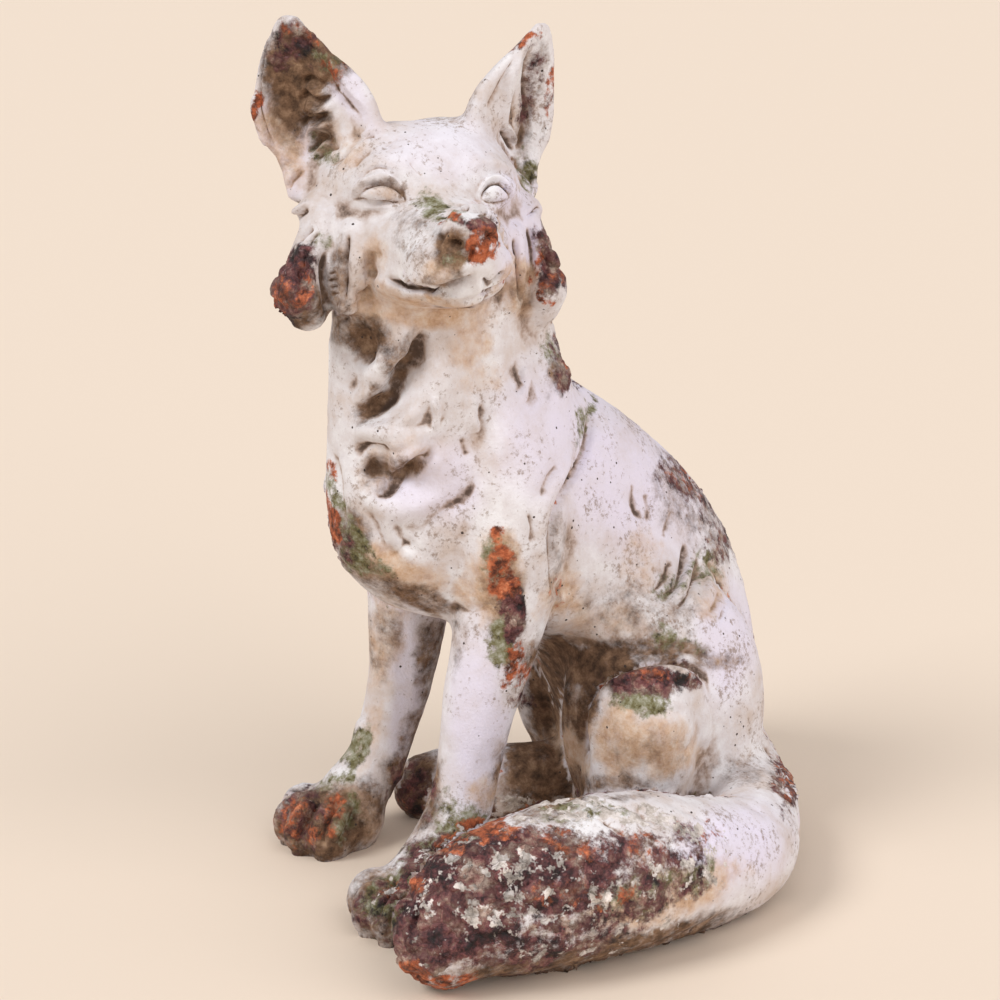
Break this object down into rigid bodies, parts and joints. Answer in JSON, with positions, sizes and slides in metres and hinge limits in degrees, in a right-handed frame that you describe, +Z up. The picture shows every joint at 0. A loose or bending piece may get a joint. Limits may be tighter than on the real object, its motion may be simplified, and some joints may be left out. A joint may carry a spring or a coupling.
{
  "type": "fox statue",
  "caption": "Seated fox garden statue, head turned to its left, brush laid along its side to the forepaws.",
  "frame": {"origin": "middle of the box round the statue, at the ground", "axes": "+Z up; the fox's body faces -Y, its left side is +X, where the brush lies"},
  "size_m": [0.3008, 0.364, 0.5],
  "materials": {
    "fired_clay": "weathered limewash over red fired clay, matt"
  },
  "bodies": {
    "root": {"fox": "fired_clay"}
  },
  "joints": []
}
